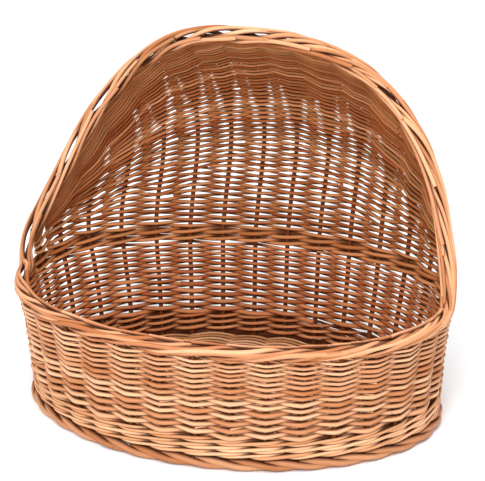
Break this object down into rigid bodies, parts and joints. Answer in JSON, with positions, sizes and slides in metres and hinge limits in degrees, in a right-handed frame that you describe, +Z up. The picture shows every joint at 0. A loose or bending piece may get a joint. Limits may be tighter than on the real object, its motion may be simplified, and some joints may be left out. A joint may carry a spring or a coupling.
{
  "type": "hooded wicker pet bed basket",
  "caption": "Oval woven willow pet bed with a low front, a half-dome hood over the back, and a rolled border round the rim and the arch of the hood.",
  "frame": {"origin": "bottom centre of the overall bounding box, on the surface the basket stands on", "axes": "+Z up, -Y towards the open doorway at the front, +X to the right of a person who faces the back of the basket from the doorway"},
  "size_m": [0.5324, 0.3942, 0.4648],
  "materials": {
    "weave": "buff willow, satin",
    "waling": "buff willow, satin",
    "border": "buff willow, satin",
    "stakes": "buff willow, satin"
  },
  "bodies": {
    "root": {"base_stick_1": "stakes", "base_stick_2": "stakes", "base_stick_3": "stakes", "base_stick_4": "stakes", "base_stick_5": "stakes", "base_weave": "weave", "foot_border": "border", "front_border": "border", "front_stake_01": "stakes", "front_stake_02": "stakes", "front_stake_03": "stakes", "front_stake_04": "stakes", "front_stake_05": "stakes", "front_stake_06": "stakes", "front_stake_07": "stakes", "front_stake_08": "stakes", "front_stake_09": "stakes", "front_stake_10": "stakes", "front_stake_11": "stakes", "front_stake_12": "stakes", "front_stake_13": "stakes", "front_stake_14": "stakes", "front_stake_15": "stakes", "front_stake_16": "stakes", "front_stake_17": "stakes", "hood_border": "border", "hood_rand_1": "weave", "hood_rand_2": "weave", "hood_rand_3": "weave", "hood_rand_4": "weave", "hood_rand_5": "weave", "hood_rand_6": "weave", "hood_rand_7": "weave", "hood_rand_8": "weave", "hood_stake_01": "stakes", "hood_stake_02": "stakes", "hood_stake_03": "stakes", "hood_stake_04": "stakes", "hood_stake_05": "stakes", "hood_stake_06": "stakes", "hood_stake_07": "stakes", "hood_stake_08": "stakes", "hood_stake_09": "stakes", "hood_stake_10": "stakes", "hood_stake_11": "stakes", "hood_stake_12": "stakes", "hood_stake_13": "stakes", "hood_stake_14": "stakes", "hood_stake_15": "stakes", "hood_stake_16": "stakes", "tub_rand_1": "weave", "tub_rand_2": "weave", "tub_rand_3": "weave", "tub_rand_4": "weave", "tub_rand_5": "weave", "tub_rand_6": "weave", "upsett_wale_1": "waling", "upsett_wale_2": "waling", "waist_wale": "waling"}
  },
  "joints": []
}
